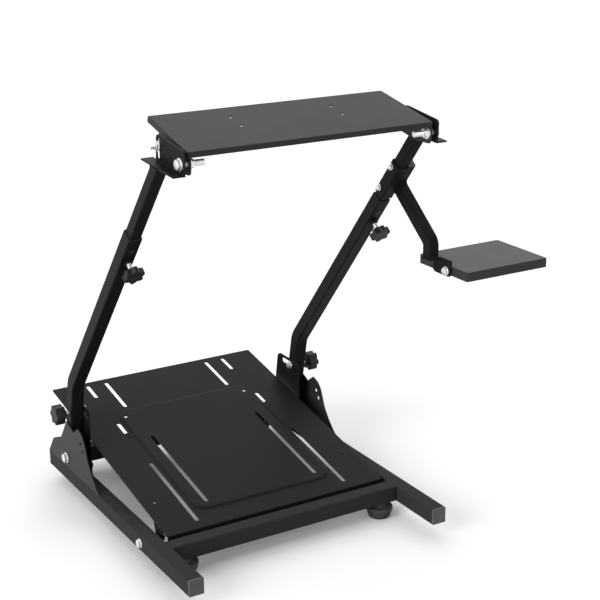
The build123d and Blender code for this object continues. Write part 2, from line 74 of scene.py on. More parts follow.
# Coat on each kind of steel: share of the coat colour, specular level, roughness, share of the edge round. The
# share of the coat colour paints one black coat lighter or darker part by part: painted light and shade.
COATS = {
    "deck_coat": (2.2, 0.085, 0.46, 1.0),
    "pressed_coat": (1.2, 0.032, 0.44, 2.4),
    "gusset_coat": (2.0, 0.10, 0.44, 1.0),
    "rail_coat": (2.5, 0.014, 0.46, 1.5),
    "tray_coat": (2.4, 0.13, 0.44, 1.0),
    "tube_coat": (0.75, 0.038, 0.40, 1.5),
}
COAT_OF = {
    "wheel_deck": "deck_coat",
    "pedal_plate": "pressed_coat",
    "shifter_plate": "tray_coat",
    "left_outer_gusset": "gusset_coat",
    "right_outer_gusset": "gusset_coat",
    "left_rail": "rail_coat",
    "right_rail": "rail_coat",
    "front_crossbar": "rail_coat",
    "rear_crossbar": "rail_coat",
}

# Bolts, as shares of the shank's radius
HEAD_CORNER = 1.7
HEAD_HEIGHT = 1.1
SHANK_FIT = 0.95
SHANK_IN_HEAD = 0.2
BOLT_TIP = 0.12
WASHER_BORE = 1.04
NUT_HEIGHT = 0.85
COLLAR_LOW, COLLAR_HIGH = 1.2, 0.8
THREAD_ROOT = 0.93
THREAD_HIGH = 1.1
SPACER_REACH = 1.6
STUD_SHANK, STUD_ROOT = 0.93, 0.92

# Ends of bolts past their nuts, as shares of the shank's radius
STUB = 0.45
HINGE_STUB = 0.3
DECK_LOCK_STUB = 1.6

# Other shares
CHAMFER = 0.93  # turned top of a hexagon over its flats
CHAMFER_RISE = 0.04  # start of that cone above the hexagon, over its corner radius
COLLAR_REACH = 0.92  # nylon collar over the flats of its nut
WASHER_EDGE = 0.18  # broken edge over the thickness of a washer
TIP_WIDTH = 0.8  # end of a pointed shank over its radius
RIDGE, RIDGE_FLAT, RIDGE_SINK = 0.56, 0.75, 0.97  # thread ridge over its pitch, its own width and the shank
NEAR = 0.3  # how near a step a vertex is when it is picked, over the step

# Hand knob, as shares of its radius, but the dish of its thickness
KNOB_DISH, KNOB_RIM, KNOB_SOFT = 0.12, 0.9, 0.07
KNOB_CAP, KNOB_CAP_RIM = 0.46, 0.05
KNOB_STEPS, FLUTE_CURVE = 12, 1.5  # steps in a lobe, and the power that shapes a flute

# Small hardware, in metres
PIVOT_RADIUS = 0.005
SPACER_RAIL_GAP, SPACER_LUG_GAP = 0.0001, 0.0004
CLAMP_NUT = 0.006
STUD_THREAD, STUD_IN_KNOB = 0.005, 0.003
KNOB_NECK, KNOB_HUB, HUB_IN_KNOB = 0.004, 0.009, 0.004
KNOB_CAP_LOW, KNOB_CAP_HIGH, KNOB_CAP_DENT = 0.0032, 0.0002, 0.0005
BUSH_INSET, BUSH_PLAY = 0.0006, 0.0003
KEY_SIZE, KEY_DROP, KEY_LIFT = (0.008, 0.0008, 0.012), 0.029, 0.0002
KEY_ROUND = 0.0038
TUBE_ROUND = 0.002
PLUG_INSET, PLUG_HEIGHT, PLUG_RIM, PLUG_CROWN = 0.0005, 0.002, 0.0025, 0.0006
ARM_TOP, ARM_FOOT, ARM_STEM = 0.0005, 0.0002, 0.01  # depths in which the arm's ends are looked for
SCREW_RADIUS, SCREW_GRIP = 0.003, 0.002
SCREW_LOW, SCREW_HIGH, SCREW_BACK = 0.013, 0.012, 0.005

# Rubber foot: shares of its height and of its half width
FOOT_SOLE = 0.79
FOOT_SOLE_EDGE = 0.97
FOOT_HOLLOW = 0.62
RIB_START, RIB_PITCH, RIB_COUNT, RIB_END = 0.05, 0.16, 3, 0.555
RIB = ((0.0, 0.0), (0.09, 0.0), (0.105, 0.05), (0.145, 0.05))
FOOT_RIM = ((0.53, 0.985), (0.56, 1.0), (0.71, 1.0), (0.735, 0.97), (0.741, 0.55), (1.0, 0.5))
FOOT_START, FOOT_RECESS = 0.0004, 0.004  # in metres

# Welds: places of stitches over a gusset's length, waist and end of a bead over its radius, and metres
STITCHES = (0.16, 0.45, 0.74)
WELD_WAIST, WELD_TIP = 0.84, 0.45
STITCH = 0.034
CROSSBAR_WELD_END, CHEEK_WELD_END = 0.001, 0.002
RING_LIFT = 0.0006
ARM_WELD_LOW, ARM_WELD_HIGH, ARM_WELD_BACK = 0.042, 0.003, 0.002

# Studio: where each lamp's light comes from, and its spread in degrees
LAMPS = {
    "key": ((-1.0, -0.2, 0.38), 40),
    "top": ((0.15, 0.55, 1.0), 70),
    "fill": ((0.9, 0.5, 0.6), 90),
}
FLOOR_SIZE, FLOOR_DROP = 120, 0.0003
FLOOR_COLOUR = (0.95, 0.95, 0.95, 1)
WHITE = (1, 1, 1, 1)
SENSOR = 36.0  # width in millimetres
CLIP = (0.05, 200.0)


class StandFinish(PropertyGroup):
    """Colours and surfaces of the stand."""

    coat_colour: FloatVectorProperty(
        name="Coat",
        description="Powder coat on the steel",
        subtype="COLOR",
        default=(0.0115, 0.0115, 0.012),
        min=0,
        max=1,
    )
    coat_grain: FloatProperty(
        name="Coat grain",
        description="Width of the orange peel in the powder coat",
        unit="LENGTH",
        default=0.0011,
        min=0.0002,
    )
    edge_round: FloatProperty(
        name="Edge round",
        description="Softness of sheet and tube edges under the coat",
        unit="LENGTH",
        default=0.0008,
        min=0,
    )
    plastic_colour: FloatVectorProperty(
        name="Knob plastic",
        description="Moulded knobs and bushes",
        subtype="COLOR",
        default=(0.007, 0.007, 0.0075),
        min=0,
        max=1,
    )
    cap_colour: FloatVectorProperty(
        name="Cap plastic",
        description="Moulded end caps of the rails",
        subtype="COLOR",
        default=(0.066, 0.066, 0.067),
        min=0,
        max=1,
    )
    zinc_colour: FloatVectorProperty(
        name="Zinc",
        description="Bright plating on bolts, washers and studs",
        subtype="COLOR",
        default=(0.80, 0.81, 0.83),
        min=0,
        max=1,
    )
    rubber_colour: FloatVectorProperty(
        name="Rubber",
        description="Feet under the cross tubes",
        subtype="COLOR",
        default=(0.012, 0.012, 0.012),
        min=0,
        max=1,
    )


class StandHardware(PropertyGroup):
    """Sizes of bolts, knobs, welds and bushes."""

    washer_reach: FloatProperty(
        name="Washer", description="Washer radius over bolt radius", default=2.0, min=1.8, max=2.6
    )
    washer_thickness: FloatProperty(
        name="Washer thickness",
        description="Thickness of a plain washer",
        unit="LENGTH",
        default=0.0015,
        min=0.0005,
    )
    thread_pitch: FloatProperty(
        name="Thread pitch",
        description="Rise of one turn of a thread",
        unit="LENGTH",
        default=0.00125,
        min=0.0005,
    )
    pivot_tail: FloatProperty(
        name="Pivot tail",
        description="Thread of a deck pivot bolt that stands out past its nut",
        unit="LENGTH",
        default=0.020,
        min=0,
    )
    flute_depth: FloatProperty(
        name="Flute depth",
        description="Depth of the finger flutes over the knob radius",
        default=0.23,
        min=0.02,
        max=0.4,
    )
    knob_lobes: IntProperty(name="Knob lobes", description="Lobes of a hand knob", default=6, min=3, max=9)
    weld_radius: FloatProperty(
        name="Weld", description="Radius of a weld bead", unit="LENGTH", default=0.0023, min=0.001
    )
    weld_ripple: FloatProperty(
        name="Weld ripple",
        description="Spacing of the ripples in a weld",
        unit="LENGTH",
        default=0.0017,
        min=0.0008,
    )
    bush_rim: FloatProperty(
        name="Bush rim",
        description="Height of the guide bush above its tube",
        unit="LENGTH",
        default=0.0022,
        min=0.001,
    )


class StandStage(PropertyGroup):
    """Camera and studio light."""

    azimuth: FloatProperty(
        name="Azimuth", description="Camera direction round the stand", unit="ROTATION", default=-0.540928
    )
    elevation: FloatProperty(
        name="Elevation", description="Camera tilt below the horizon", unit="ROTATION", default=0.317629
    )
    roll: FloatProperty(name="Roll", description="Camera roll", unit="ROTATION", default=-0.002969)
    place: FloatVectorProperty(
        name="Camera place",
        description="Camera from the middle of the rails' front ends, on the floor",
        subtype="TRANSLATION",
        unit="LENGTH",
        default=(-1.110738, -1.774083, 1.166221),
    )
    lens: FloatProperty(
        name="Lens", description="Focal length on a 36 mm sensor", unit="CAMERA", default=84.661, min=10
    )
    sky: FloatProperty(name="Sky", description="Soft light from all round", default=0.46, min=0)
    key: FloatProperty(name="Key", description="Soft light from the left", default=2.4, min=0)
    top: FloatProperty(name="Top", description="Soft light from above and behind", default=1.15, min=0)
    fill: FloatProperty(name="Fill", description="Soft light from the right and behind", default=0.8, min=0)
    floor_glow: FloatProperty(
        name="Floor glow",
        description="Share of plain white in the floor's own look",
        subtype="FACTOR",
        default=0.1,
        min=0,
        max=1,
    )


class Paint:
    """One socket of a node tree. Arithmetic on values adds the Math nodes that work it out."""

    def __init__(self, tree, socket):
        self.tree = tree
        self.socket = socket

    def node(self, kind, settings=(), sockets=(), out=0):
        """Any node: its type, settings, values or links of its sockets, and the output to go on with."""
        made = self.tree.nodes.new(kind)
        for key, value in dict(settings).items():
            if key == "stops":
                ramp = made.color_ramp.elements
                while len(ramp) < len(value):
                    ramp.new(0.5)
                for stop, (position, grey) in zip(ramp, value):
                    stop.position = position
                    stop.color = (grey, grey, grey, 1)
            else:
                setattr(made, key, value)
        for key, value in dict(sockets).items():
            if isinstance(value, Paint):
                self.tree.links.new(value.socket, made.inputs[key])
            else:
                made.inputs[key].default_value = value
        return Paint(self.tree, made.outputs[out])

    def maths(self, operation, first, second):
        return self.node("ShaderNodeMath", {"operation": operation}, {0: first, 1: second})

    def __add__(self, other):
        return self.maths("ADD", self, other)

    __radd__ = __add__

    def __sub__(self, other):
        return self.maths("SUBTRACT", self, other)

    def __rsub__(self, other):
        return self.maths("SUBTRACT", other, self)

    def __mul__(self, other):
        return self.maths("MULTIPLY", self, other)

    __rmul__ = __mul__

    def noise(self, size, detail=2.0, rough=0.5):
        """Cloudy value from 0 to 1 whose features are about that size, in metres."""
        sockets = {"Vector": self, "Scale": 1 / size, "Detail": detail, "Roughness": rough}
        return self.node("ShaderNodeTexNoise", {}, sockets)

    def ramp(self, *stops):
        """Value that runs through the stops, each a position and a grey."""
        colour = self.node("ShaderNodeValToRGB", {"stops": stops}, {0: self})
        return self.node("ShaderNodeRGBToBW", {}, {0: colour})

    def between(self, low, high):
        """Colour between two colours by this value."""
        ends = [side if isinstance(side, Paint) else (*side, 1) for side in (low, high)]
        return self.node("ShaderNodeMix", {"data_type": "RGBA"}, {0: self, 6: ends[0], 7: ends[1]}, out=2)

    def bump(self, depth, normal=None):
        """Normal of a surface that this value raises by up to a depth, in metres."""
        sockets = {"Height": self, "Distance": depth, "Strength": 1.0}
        if normal is not None:
            sockets["Normal"] = normal
        return self.node("ShaderNodeBump", {}, sockets)

    def into(self, shader, name):
        self.tree.links.new(self.socket, shader.inputs[name])


def blank_material(name, **fixed):
    """A new material, its shader, and the place on the piece in Object coordinates."""
    material = bpy.data.materials.new(name)
    material.use_nodes = True
    tree = material.node_tree
    shader = tree.nodes["Principled BSDF"]
    for key, value in fixed.items():
        shader.inputs[key.replace("_", " ")].default_value = value
    place = Paint(tree, tree.nodes.new("ShaderNodeTexCoord").outputs["Object"])
    return material, shader, place


def soft_edge(place, radius):
    """Rounded normal along edges, and how much of an edge a point is."""
    rounded = place.node("ShaderNodeBevel", {"samples": 6}, {"Radius": radius})
    flat = place.node("ShaderNodeNewGeometry", out=1)
    facing = place.node("ShaderNodeVectorMath", {"operation": "DOT_PRODUCT"}, {0: rounded, 1: flat}, out=1)
    return rounded, (1 - facing).ramp((0.004, 0.0), (0.07, 1.0))


def powder_coat(finish, name):
    """Satin black powder coat: orange peel, cloudy gloss, edges glossier and painted lighter as a highlight with a
    little wear, and a little dust.
    """
    share, gloss, satin, round_share = COATS[name]
    material, shader, place = blank_material(name, IOR=1.46, Specular_IOR_Level=gloss)
    rounded, edge = soft_edge(place, finish.edge_round * round_share)
    peel = place.noise(finish.coat_grain, detail=3.0, rough=0.55)
    speckle = place.noise(finish.coat_grain * 0.35, detail=1.0)
    cloud = place.noise(size=0.06, detail=4.0, rough=0.6)
    dust = place.noise(size=0.0035, detail=2.0, rough=0.7).ramp((0.62, 0.0), (0.78, 1.0))
    dust = dust * cloud.ramp((0.45, 0.0), (0.75, 1.0))
    # Lighter or darker copy of the one coat colour: painted light and shade
    colour = tuple(share * part for part in finish.coat_colour)
    # Lighter colour along edges: a painted highlight, with a little wear
    highlit_and_worn = tuple(min(1.0, 2.4 * part + 0.022) for part in colour)
    dusty = tuple(min(1.0, part + 0.012) for part in colour)
    base = (edge * (0.35 + 0.5 * cloud)).between(colour, highlit_and_worn)
    (dust * 0.35).between(base, dusty).into(shader, "Base Color")
    rough = satin + 0.10 * (cloud - 0.5) + 0.05 * (speckle - 0.5) - 0.08 * edge + 0.12 * dust
    rough.into(shader, "Roughness")
    (0.7 * peel + 0.3 * speckle).bump(depth=0.00012, normal=rounded).into(shader, "Normal")
    return material


def moulded_plastic(name, colour):
    """Matte moulded plastic with a fine spark-eroded grain."""
    material, shader, place = blank_material(name, IOR=1.5, Specular_IOR_Level=0.25)
    grain = place.noise(size=0.0005, detail=2.0, rough=0.6)
    flow = place.noise(size=0.012, detail=3.0, rough=0.5)
    rounded, edge = soft_edge(place, radius=0.0006)
    # Lighter along edges and in flow marks
    edge_and_flow_tone = tuple(2.2 * part + 0.006 for part in colour)
    (edge * 0.5 + flow.ramp((0.5, 0.0), (0.8, 0.3))).between(colour, edge_and_flow_tone).into(shader, "Base Color")
    (0.5 + 0.12 * (flow - 0.5) + 0.08 * (grain - 0.5) - 0.1 * edge).into(shader, "Roughness")
    grain.bump(depth=0.00004, normal=rounded).into(shader, "Normal")
    return material


def bright_zinc(finish):
    """Zinc plate: bright, slightly blue, with dull clouds and fine draw marks."""
    material, shader, place = blank_material("zinc", Metallic=1.0)
    cloud = place.noise(size=0.004, detail=3.0, rough=0.6)
    drawn = place.node("ShaderNodeMapping", {}, {"Vector": place, "Scale": (6.0, 1.0, 1.0)})
    draw = drawn.noise(size=0.0009, detail=2.0, rough=0.6)
    colour = tuple(finish.zinc_colour)
    dull = tuple(part * tint for part, tint in zip(colour, (0.80, 0.82, 0.86)))
    cloud.ramp((0.35, 0.0), (0.7, 1.0)).between(colour, dull).into(shader, "Base Color")
    (0.24 + 0.16 * cloud + 0.08 * draw).into(shader, "Roughness")
    draw.bump(depth=0.000015).into(shader, "Normal")
    return material


def foot_rubber(finish):
    """Dull rubber with a bloom and a coarse grain."""
    material, shader, place = blank_material("rubber", IOR=1.5, Specular_IOR_Level=0.25)
    grain = place.noise(size=0.0009, detail=3.0, rough=0.65)
    bloom = place.noise(size=0.015, detail=3.0, rough=0.6)
    colour = tuple(finish.rubber_colour)
    grey = tuple(part + 0.018 for part in colour)
    bloom.ramp((0.45, 0.0), (0.8, 1.0)).between(colour, grey).into(shader, "Base Color")
    (0.78 + 0.14 * (bloom - 0.5)).into(shader, "Roughness")
    grain.bump(depth=0.00008).into(shader, "Normal")
    return material


def places(node):
    """Where the vertices of a CAD node are."""
    return [vertex.co for vertex in frame["nodes"][node].data.vertices]


def span(node, direction):
    """How far a CAD node reaches along a direction, low and high."""
    reach = [direction.dot(place) for place in places(node)]
    return min(reach), max(reach)


def breadth(node, direction):
    low, high = span(node, direction)
    return high - low


def middle(node, direction):
    low, high = span(node, direction)
    return (low + high) / 2


def alone(piece=None):
    """Leaves edit mode and selects one piece, or nothing."""
    if bpy.context.object and bpy.context.object.mode != "OBJECT":
        bpy.ops.object.mode_set(mode="OBJECT")
    bpy.ops.object.select_all(action="DESELECT")
    if piece:
        piece.select_set(True)
        bpy.context.view_layer.objects.active = piece


def begin(name, add, **sizes):
    """Adds a primitive by itself and names it."""
    alone()
    add(**sizes)
    piece = bpy.context.object
    piece.name = piece.data.name = name
    return piece


def edit(piece):
    alone(piece)
    bpy.ops.object.mode_set(mode="EDIT")


def pick(piece, kind, test):
    """In edit mode, selects what passes a test on its place, and on an edge's way or a face's normal."""
    bpy.ops.mesh.select_mode(type=kind)
    bpy.ops.mesh.select_all(action="DESELECT")
    mesh = bmesh.from_edit_mesh(piece.data)
    mesh.normal_update()
    found = 0
    for item in {"VERT": mesh.verts, "EDGE": mesh.edges, "FACE": mesh.faces}[kind]:
        if kind == "VERT":
            hit = test(item.co)
        elif kind == "EDGE":
            hit = test((item.verts[0].co + item.verts[1].co) / 2, item.verts[1].co - item.verts[0].co)
        else:
            hit = test(item.calc_center_median(), item.normal)
        item.select_set(bool(hit))
        found += bool(hit)
    mesh.select_flush_mode()
    bmesh.update_edit_mesh(piece.data)
    if not found:
        raise RuntimeError(f"nothing to pick on {piece.name}")


def pull(move, scale=None, about=(0, 0, 0)):
    """Extrudes what is picked, and sizes it about a point."""
    bpy.ops.mesh.extrude_region_move(TRANSFORM_OT_translate={"value": move})
    if scale:
        bpy.ops.transform.resize(value=scale, center_override=about)


def apply(piece, kind, **settings):
    """Adds a modifier and applies it."""
    alone(piece)
    step = piece.modifiers.new(kind.lower(), kind)
    for key, value in settings.items():
        setattr(step, key, value)
    bpy.ops.object.modifier_apply(modifier=step.name)


def soften(piece, width, segments=2, angle=35):
    limit = math.radians(angle)
    apply(piece, "BEVEL", width=width, segments=segments, limit_method="ANGLE", angle_limit=limit)


def join(name, pieces):
    """Makes one piece of several."""
    alone()
    for piece in pieces:
        piece.select_set(True)
    bpy.context.view_layer.objects.active = pieces[0]
    if len(pieces) > 1:
        bpy.ops.object.join()
    pieces[0].name = pieces[0].data.name = name
    return pieces[0]


def twin(piece, name):
    """A copy with a mesh of its own."""
    alone(piece)
    bpy.ops.object.duplicate(linked=False)
    made = bpy.context.object
    made.name = made.data.name = name
    return made


def flatten(piece):
    """Puts a piece's place, turn and size in its mesh."""
    alone(piece)
    bpy.ops.object.transform_apply(location=True, rotation=True, scale=True)
    return piece


def settle(piece, spot, axis=UP, turn=None):
    """Turns a piece's +Z to an axis, or all its axes by a turn, and moves it to its place."""
    if turn is None:
        turn = UP.rotation_difference(axis).to_matrix()
    piece.matrix_world = Matrix.Translation(spot) @ turn.to_4x4() @ piece.matrix_world
    return flatten(piece)


def faces_up(place, normal):
    return normal.z > ALONG


def faces_down(place, normal):
    return normal.z < -ALONG


def faces_end(place, normal):
    return abs(normal.z) > ALONG


def round_edges(piece, axis, width, segments):
    """Rounds the edges that run along an axis."""
    edit(piece)
    pick(piece, "EDGE", lambda place, way: abs(way.normalized().dot(axis)) > ALONG)
    bpy.ops.mesh.bevel(offset=width, segments=segments, affect="EDGES")
    alone(piece)


def bore_out(piece, wall):
    """Opens a piece from its top to its bottom and leaves a wall round the hole."""
    edit(piece)
    pick(piece, "FACE", faces_end)
    bpy.ops.mesh.inset(thickness=wall, use_individual=True)
    bpy.ops.mesh.bridge_edge_loops()
    alone(piece)


def dress(piece, material, body, slot, *nodes, angle=32):
    """Gives a finished piece its material and its body, and hides the CAD nodes it stands for."""
    alone(piece)
    bpy.ops.object.shade_smooth_by_angle(angle=math.radians(angle))
    piece.data.materials.clear()
    piece.data.materials.append(bpy.data.materials[material])
    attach(piece, body)
    if nodes:
        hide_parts(*nodes)
    return piece


def body_of(node):
    return next(body for body, members in frame["record"]["behaviour"]["bodies"].items() if node in members)


def rod(name, sides, radius, low, high):
    """Straight bar on the Z axis from low to high."""
    add = bpy.ops.mesh.primitive_cylinder_add
    place = (0, 0, (low + high) / 2)
    return flatten(begin(name, add, vertices=sides, radius=radius, depth=high - low, location=place))


def cuboid(name, size, rise=0.0):
    """Box with its middle on the Z axis, raised that far."""
    add = bpy.ops.mesh.primitive_cube_add
    return flatten(begin(name, add, size=1, location=(0, 0, rise), scale=size))


def hexagon(name, corner, low, high):
    """Hexagon block whose top corners are turned off by a cone."""
    block = rod(name, 6, corner, low, high)
    top = corner * math.cos(math.pi / 6) * CHAMFER
    slope = math.tan(math.pi / 6)
    rise = CHAMFER_RISE * corner
    depth = (high - low) * 1.5
    cone = begin(
        "chamfer",
        bpy.ops.mesh.primitive_cone_add,
        vertices=48,
        radius1=top + (depth - rise) / slope,
        radius2=top - rise / slope,
        depth=depth,
        location=(0, 0, high + rise - depth / 2),
    )
    apply(block, "BOOLEAN", operation="INTERSECT", solver="EXACT", object=cone)
    bpy.data.objects.remove(cone)
    return block


def washer(name, bore, reach, low, high):
    """Plain washer with a bore and broken edges."""
    ring = rod(name, 40, reach, low, high)
    bore_out(ring, reach - bore)
    soften(ring, (high - low) * WASHER_EDGE)
    return ring


def shank(name, radius, low, high, tip=0.0):
    """Plain round shank, its lower end turned to a point for the tip length."""
    bar = rod(name, 32, radius, low, high)
    if tip:
        edit(bar)
        pick(bar, "FACE", faces_down)
        pull((0, 0, -tip), (TIP_WIDTH, TIP_WIDTH, 1), (0, 0, low))
        alone(bar)
    return bar


def thread(name, radius, low, high, pitch):
    """Helical thread round a shank, wound from a three-cornered ridge."""
    turns = max(1, int((high - low) / pitch) - 1)
    ridge = begin(
        name,
        bpy.ops.mesh.primitive_circle_add,
        vertices=3,
        radius=pitch * RIDGE,
        fill_type="NOTHING",
        location=(radius * RIDGE_SINK, 0, low + pitch / 2),
        rotation=(math.pi / 2, math.pi / 2, 0),
    )
    ridge.scale = (1, RIDGE_FLAT, 1)
    flatten(ridge)
    apply(ridge, "SCREW", axis="Z", screw_offset=pitch, iterations=turns, steps=20, render_steps=20)
    edit(ridge)
    bpy.ops.mesh.select_all(action="SELECT")
    bpy.ops.mesh.remove_doubles(threshold=0.000001)
    bpy.ops.mesh.fill_holes(sides=3)
    bpy.ops.mesh.select_all(action="SELECT")
    bpy.ops.mesh.normals_make_consistent(inside=False)
    alone(ridge)
    return ridge


def nut_set(name, hardware, radius, seat, stub, with_washer=True):
    """Lock nut below Z seat with its washer, nylon collar and the threaded end of its bolt."""
    corner = radius * HEAD_CORNER
    flat = corner * math.cos(math.pi / 6)
    parts = []
    if with_washer:
        low = seat - hardware.washer_thickness
        parts.append(washer(name, radius * WASHER_BORE, radius * hardware.washer_reach, low, seat))
        seat = low
    block = hexagon(name, corner, -seat, -seat + radius * NUT_HEIGHT)
    settle(block, (0, 0, 0), -UP)
    low, high = seat - radius * COLLAR_LOW, seat - radius * COLLAR_HIGH
    collar = washer("collar", radius * SHANK_FIT, flat * COLLAR_REACH, low, high)
    end = seat - radius * (COLLAR_LOW + stub)
    top = seat - radius * THREAD_HIGH
    wound = thread("thread", radius * THREAD_ROOT, end, top, hardware.thread_pitch)
    parts += [block, collar, wound, shank("end", radius * SHANK_FIT, end, seat, tip=radius * BOLT_TIP)]
    return join(name, parts)


def bolt_set(name, hardware, radius, grip, nut=True, nut_washer=True, stub=STUB):
    """Bolt with its washers and nut. The head bears on Z 0 from above and the nut on Z -grip from below."""
    thick = hardware.washer_thickness
    parts = [hexagon(name, radius * HEAD_CORNER, thick, thick + radius * HEAD_HEIGHT)]
    parts.append(washer("washer", radius * WASHER_BORE, radius * hardware.washer_reach, 0, thick))
    if nut:
        parts.append(nut_set("nut", hardware, radius, -grip, stub, nut_washer))
    parts.append(shank("shank", radius * SHANK_FIT, -grip, thick + radius * SHANK_IN_HEAD))
    return join(name, parts)


def star_knob(name, hardware, radius, neck_radius, neck, thickness):
    """Moulded hand knob on +Z: hub, fluted rim with soft lobes, dished top and a round cap."""
    lobes = hardware.knob_lobes
    steps = KNOB_STEPS
    knob = rod(name, lobes * steps, radius, neck, neck + thickness)
    edit(knob)
    width = 2 * math.pi / lobes
    for step in range(steps // 2 - 1):
        depth = hardware.flute_depth * math.cos(step / (steps / 2 - 1) * math.pi / 2) ** FLUTE_CURVE
        near = step * width / steps

        def in_flute(place, near=near):
            turn = abs((math.atan2(place.y, place.x) + width / 2) % width - width / 2)
            return abs(turn - near) < width / steps * NEAR

        pick(knob, "VERT", in_flute)
        bpy.ops.transform.resize(value=(1 - depth, 1 - depth, 1), center_override=(0, 0, 0))
    dish = thickness * KNOB_DISH
    inner = (KNOB_RIM, KNOB_RIM, 1)
    pick(knob, "FACE", faces_up)
    pull((0, 0, dish), inner, (0, 0, neck + thickness))
    bpy.ops.transform.translate(value=(0, 0, -dish))
    pick(knob, "FACE", faces_down)
    pull((0, 0, 0), inner, (0, 0, neck))
    alone(knob)
    soften(knob, width=radius * KNOB_SOFT, segments=3, angle=40)
    hub = rod("hub", 40, neck_radius, 0, neck + HUB_IN_KNOB)
    soften(hub, width=0.0006)
    face = neck + thickness
    cap = rod("cap", 48, radius * KNOB_CAP, face - KNOB_CAP_LOW, face - KNOB_CAP_HIGH)
    edit(cap)
    pick(cap, "FACE", faces_up)
    bpy.ops.mesh.inset(thickness=radius * KNOB_CAP_RIM)
    pull((0, 0, -KNOB_CAP_DENT))
    alone(cap)
    soften(cap, width=0.0003)
    return join(name, [knob, hub, cap])


def weld_bead(name, start, end, radius, ripple):
    """Rippled weld bead between two points."""
    run = Vector(end) - Vector(start)
    cuts = max(3, 2 * round(run.length / ripple / 2) + 1)
    bead = rod(name, 10, radius, -run.length / 2, run.length / 2)
    edit(bead)
    pick(bead, "EDGE", lambda place, way: abs(way.normalized().z) > ALONG)
    bpy.ops.mesh.subdivide(number_cuts=cuts)
    gap = run.length / (cuts + 1)
    pick(bead, "VERT", lambda place: round((place.z + run.length / 2) / gap) % 2 == 1)
    bpy.ops.transform.resize(value=(WELD_WAIST, WELD_WAIST, 1), center_override=(0, 0, 0))
    pick(bead, "VERT", lambda place: abs(place.z) > run.length / 2 - gap * NEAR)
    bpy.ops.transform.resize(value=(WELD_TIP, WELD_TIP, 1), center_override=(0, 0, 0))
    alone(bead)
    apply(bead, "SUBSURF", levels=1, render_levels=1)
    return settle(bead, (Vector(start) + Vector(end)) / 2, run.normalized())


class STAND_OT_finishes(Operator):
    """Make the finishes and give them to the frame"""

    bl_idname = "stand.finishes"
    bl_label = "Coat the Frame"

    def execute(self, context):
        finish = context.scene.stand_finish
        made = {name: powder_coat(finish, name) for name in COATS}
        made["black_coat"] = made["tube_coat"]
        made["black_plastic"] = moulded_plastic("knob_plastic", tuple(finish.plastic_colour))
        made["cap_plastic"] = moulded_plastic("cap_plastic", tuple(finish.cap_colour))
        made["zinc"] = bright_zinc(finish)
        made["rubber"] = foot_rubber(finish)
        for name, node in frame["nodes"].items():
            kind = "cap_plastic" if name.endswith("_cap") else COAT_OF.get(name, SLOT_OF[name])
            for slot in node.material_slots:
                slot.material = made[kind]
        return {"FINISHED"}


class STAND_OT_bolts(Operator):
    """Fit the pivot, hinge, deck, lock and shifter bolts with washers and nuts"""

    bl_idname = "stand.bolts"
    bl_label = "Fit the Bolts"

    def measure(self, node):
        """Ends of a bolt along X, the radius of its shank, and its middle in Y and Z."""
        low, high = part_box(node)
        radius = max(high.y - low.y, high.z - low.z) / (2 * HEAD_CORNER)
        return low.x, high.x, radius, Vector((0, (low.y + high.y) / 2, (low.z + high.z) / 2))

    def fit(self, made, node, spot, axis):
        dress(settle(made, spot, axis), "zinc", body_of(node), "zinc", node)

    def through(self, hardware, node, outward, head_out=True, tail=0.0, shade_painted_nut=False, **options):
        """Bolt with its nut, which may be a piece of its own in the black coat in place of zinc, as painted shade.
        """
        left, right, radius, line = self.measure(node)
        cap = radius * HEAD_HEIGHT
        grip = right - left - 2 * cap - tail
        axis = ACROSS * (outward if head_out else -outward)
        spot = line + ACROSS * (right - cap if axis.x > 0 else left + cap)
        made = bolt_set(node + "_set", hardware, radius, grip, nut=not shade_painted_nut, **options)
        self.fit(made, node, spot, axis)
        # Nut in the black coat rather than zinc: painted shade where it sits in shade
        if shade_painted_nut:
            nut = nut_set(node + "_nut", hardware, radius, -grip, HINGE_STUB)
            dress(settle(nut, spot, axis), "tube_coat", body_of(node), "black_coat")

    def spacer(self, side, outward):
        """Plastic spacer on a hinge bolt, between its rail and the lug of the pedal plate."""
        _, _, radius, line = self.measure(f"{side}_hinge_bolt")
        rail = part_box(f"{side}_rail")[outward < 0].x
        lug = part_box("pedal_plate")[outward > 0].x
        far = abs(lug - rail) - SPACER_LUG_GAP
        made = washer(f"{side}_hinge_spacer", radius, radius * SPACER_REACH, SPACER_RAIL_GAP, far)
        settle(made, line + ACROSS * rail, ACROSS * -outward)
        dress(made, "knob_plastic", "base", "black_plastic")

    def lock(self, hardware, side, outward):
        """Lock bolt, with its head at the inner gusset and its end in the hand knob."""
        node = f"{side}_lock_bolt"
        left, right, radius, line = self.measure(node)
        head, end = (right, left) if outward < 0 else (left, right)
        seat = head + outward * radius * HEAD_HEIGHT
        made = bolt_set(node + "_set", hardware, radius, abs(end - seat), nut=False)
        self.fit(made, node, line + ACROSS * seat, ACROSS * -outward)

    def execute(self, context):
        hardware = context.scene.stand_hardware
        tail = hardware.pivot_tail
        tail_stub = tail / PIVOT_RADIUS - STUB
        for side, outward in SIDES:
            self.through(hardware, f"{side}_pivot_bolt", outward)
            self.through(hardware, f"{side}_hinge_bolt", outward, shade_painted_nut=True)
            self.spacer(side, outward)
            self.through(hardware, f"{side}_deck_pivot_bolt", outward, tail=tail, stub=tail_stub)
            self.through(hardware, f"{side}_deck_lock_bolt", outward, head_out=False, stub=DECK_LOCK_STUB)
            self.lock(hardware, side, outward)
        self.through(hardware, "shifter_bolt", -1, nut_washer=False)
        return {"FINISHED"}


